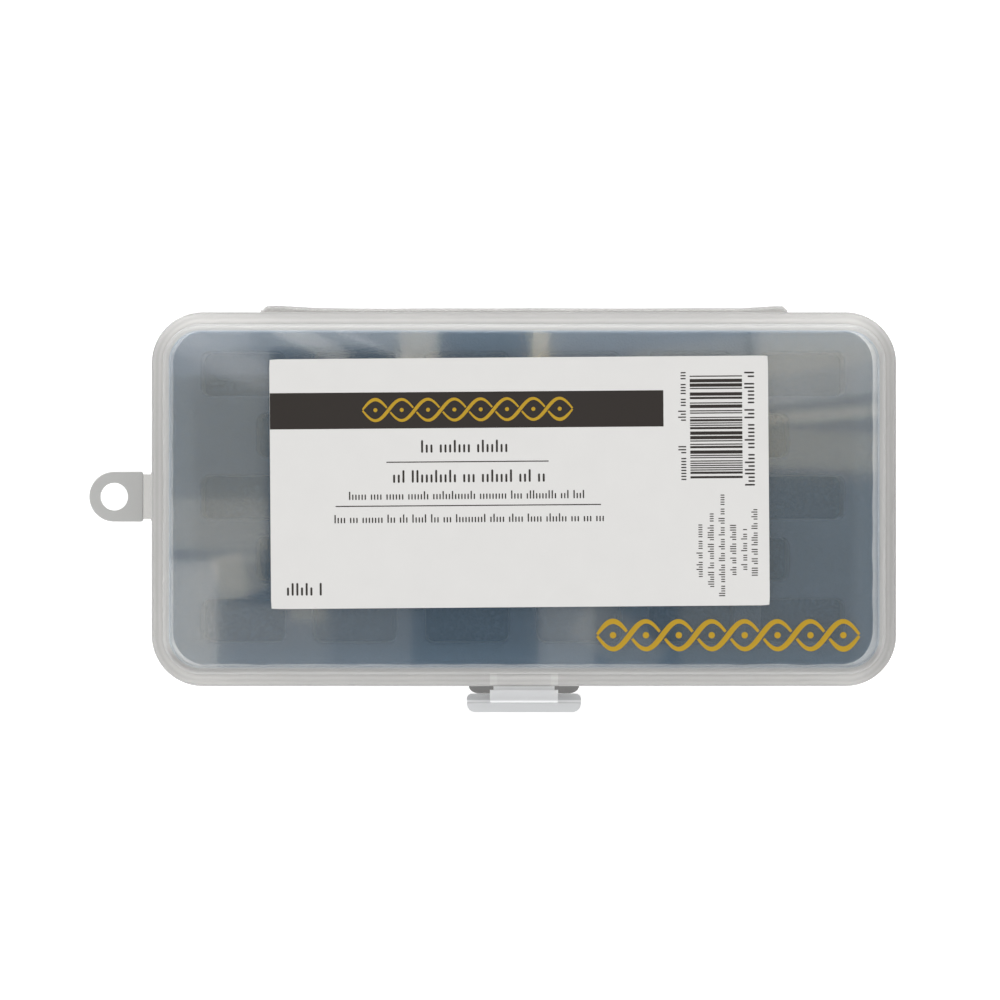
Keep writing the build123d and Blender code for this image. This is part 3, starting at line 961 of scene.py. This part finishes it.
class BOBBINBOX_OT_label(Operator):
    """Make the paper label with its band, border and stand-in lines"""

    bl_idname = "bobbin_box.label"
    bl_label = "Paper label"

    def execute(self, context):
        label = context.scene.bobbin_label
        half = np.array((label.length, label.width)) / 2
        low, high, edge, corner = LABEL_LOW.z + GLUE, LABEL_HIGH.z, 0.03 * MM, 0.4 * MM
        points, faces = slab(half, corner, low, high, edge, 60, 30)
        paper = printed_stock("paper_coated_white", label.paper, 0.42, 0.15)
        sheet = mesh_piece("label_sheet", on_label(points), faces, paper)
        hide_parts("label")
        pieces = [sheet]
        # The gold lies on the black, and each is let in a little, so that no gap shows under it
        black = printed_stock("ink_black_offset", label.black, 0.38, 0.1)
        black_parts = self.black_parts(label, high + 0.3 * label.ink, high + label.ink)
        gold = printed_stock("ink_gold_offset", label.gold, 0.34, 0.1, 0.25)
        border = knotwork(*LABEL_BORDER, label.strand, high + 1.3 * label.ink, high + 2 * label.ink)
        inks = (("label_black_ink", black, black_parts), ("label_gold_ink", gold, [border]))
        for name, ink, parts in inks:
            points, faces = joined(*parts)
            pieces.append(mesh_piece(name, on_label(points), faces, ink))
        for piece in pieces:
            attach(piece, "lid")
        return {"FINISHED"}

    def black_parts(self, label, low, high):
        """The band, two rules, rows of strokes in place of words, and a block of random bars."""
        left = -label.length / 2 + 0.05 * MM
        band = np.column_stack([np.linspace(left, BAND_RIGHT, 48), np.full(48, BAND_Y)])
        parts = [ribbon(band, label.band_width, low, high)]
        for middle, length, width in RULES:
            line = np.array(middle) + np.linspace(-0.5, 0.5, 24)[:, None] * (length, 0)
            parts.append(ribbon(line, width, low, high))
        for seed, (middle, length, height, upright) in enumerate(WORD_ROWS):
            place = np.array(middle) * MM
            parts += word_row(place, length * MM, height * MM, low, high, seed, upright)
        rng = np.random.default_rng(5)
        bars, gaps = rng.choice([1, 2, 3], (2, BAR_COUNT), p=[0.6, 0.25, 0.15]) * BAR_STEP
        starts = np.cumsum(bars + gaps) - bars - gaps
        x = BARS_LOW[0] + np.linspace(0, BARS_WIDTH, 8)
        for start, bar in zip(BARS_LOW[1] + starts, bars):
            parts.append(ribbon(np.column_stack([x, np.full(8, start + bar / 2)]), bar, low, high))
        return parts


class BOBBINBOX_OT_lid_print(Operator):
    """Make the gold border that is printed on the lid's lower right"""

    bl_idname = "bobbin_box.lid_print"
    bl_label = "Lid print"

    def execute(self, context):
        label = context.scene.bobbin_label
        low, high = LID_HIGH.z + 0.4 * label.ink, LID_HIGH.z + 1.6 * label.ink
        points, faces = knotwork(*LID_BORDER, LID_STRAND * label.strand, low, high)
        gold = printed_stock("ink_gold_pad_printed", label.gold, 0.3, 0.1, 0.25)
        piece = mesh_piece("lid_gold_print", points, faces, gold)
        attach(piece, "lid")
        return {"FINISHED"}


def soft_lamp(name, width, height, radiance, place, turn, warm=0.0):
    """A flat lamp, whose power is its radiance times pi times its area."""
    lamp = bpy.data.lights.new(name, "AREA")
    lamp.shape = "RECTANGLE"
    lamp.size, lamp.size_y = width, height
    lamp.color = (1.0, 1.0 - 0.15 * warm, 1.0 - 0.45 * warm)
    lamp.energy = radiance * math.pi * width * height
    holder = bpy.data.objects.new(name, lamp)
    holder.location = place
    holder.rotation_euler = [math.radians(degrees) for degrees in turn]
    bpy.context.scene.collection.objects.link(holder)


class BOBBINBOX_OT_stage(Operator):
    """Set the camera straight above, the floor and the soft light"""

    bl_idname = "bobbin_box.stage"
    bl_label = "Stage"

    def execute(self, context):
        stage = context.scene.bobbin_stage
        context.scene.view_settings.view_transform = "Standard"
        camera = bpy.data.cameras.new("camera")
        camera.sensor_width = 36.0
        camera.lens = camera.sensor_width * stage.distance / stage.view_width
        holder = bpy.data.objects.new("camera", camera)
        context.scene.collection.objects.link(holder)
        holder.location = (CAMERA_X, CAMERA_Y, AIM_HEIGHT + stage.distance)
        context.scene.camera = holder
        u, v = np.meshgrid(np.linspace(-6, 6, 3), np.linspace(-6, 6, 3))
        floor = np.column_stack([u.ravel(), v.ravel(), np.full(u.size, -0.1 * MM)])
        white = studio_floor("board_matt_white", stage.floor, stage.floor_glow)
        board = mesh_piece("floor", floor, grid_faces(3, 3), white)
        self.add_tent(context, stage)
        self.add_lamps(stage)
        return {"FINISHED"}

    def add_tent(self, context, stage):
        """A light tent that is bright to the sides and dim overhead, where the lamps hang."""
        world = bpy.data.worlds.new("tent")
        context.scene.world = world
        add = empty_tree(world)
        way = add("TexCoord", out="Generated")
        roof = eased(add, way, ROOF_SPAN, stage.sky, ROOF_SHARE * stage.sky, "Z", unit=1.0)
        shine = add("Background", {"Color": (1.0, 1.0, 1.0, 1.0), "Strength": roof})
        add("OutputWorld", {"Surface": shine})

    def add_lamps(self, stage):
        """A soft box low behind the box, and lamps overhead that the lid mirrors.

        A lamp overhead is listed where it is seen in the lid, on a plane at the lid's height, and
        stands at its place there carried on by the mirrored line of sight.
        """
        sight = stage.distance + AIM_HEIGHT - LID_HIGH.z
        for number, (x, y, width, height, turn, light, warm) in enumerate(OVERHEAD_LAMPS):
            # Each hangs a millimetre above the one before, since lamps in one plane hide one another
            rise = stage.lamp_height + number * MM
            reach = (sight + rise) / sight
            place = (
                CAMERA_X + (x * MM - CAMERA_X) * reach,
                CAMERA_Y + (y * MM - CAMERA_Y) * reach,
                LID_HIGH.z + rise,
            )
            size, turns = (width * MM * reach, height * MM * reach), (0, 0, turn)
            soft_lamp(f"overhead_{number:02d}", *size, light * stage.overhead, place, turns, warm)
        size, place, turn = SOFT_BOX
        soft_lamp("soft_box_behind", *size, stage.key, place, turn)


class BOBBINBOX_PT_panel(Panel):
    """Lists the settings and the pieces' operators"""

    bl_idname = "BOBBINBOX_PT_panel"
    bl_label = "Bobbin box"
    bl_space_type = "VIEW_3D"
    bl_region_type = "UI"
    bl_category = "Bobbin box"

    def draw(self, context):
        for group in SETTINGS:
            settings = getattr(context.scene, group)
            for name in settings.__annotations__:
                self.layout.prop(settings, name)
        for step in OPERATORS:
            self.layout.operator(step.bl_idname)


SETTINGS = {
    "bobbin_case": CaseSettings,
    "bobbin_foam": FoamSettings,
    "bobbin_label": LabelSettings,
    "bobbin_stage": StageSettings,
}
OPERATORS = (
    BOBBINBOX_OT_stage,
    BOBBINBOX_OT_case,
    BOBBINBOX_OT_films,
    BOBBINBOX_OT_foam,
    BOBBINBOX_OT_label,
    BOBBINBOX_OT_lid_print,
)


def register():
    for made in (*SETTINGS.values(), *OPERATORS, BOBBINBOX_PT_panel):
        bpy.utils.register_class(made)
    for name, settings in SETTINGS.items():
        setattr(bpy.types.Scene, name, PointerProperty(type=settings))


def unregister():
    for name in SETTINGS:
        delattr(bpy.types.Scene, name)
    for made in (BOBBINBOX_PT_panel, *OPERATORS, *SETTINGS.values()):
        bpy.utils.unregister_class(made)


def main():
    """Makes every piece."""
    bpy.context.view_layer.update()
    register()
    bpy.ops.bobbin_box.stage()
    bpy.ops.bobbin_box.case()
    bpy.ops.bobbin_box.films()
    bpy.ops.bobbin_box.foam()
    bpy.ops.bobbin_box.label()
    bpy.ops.bobbin_box.lid_print()


if __name__ == "__main__":
    main()
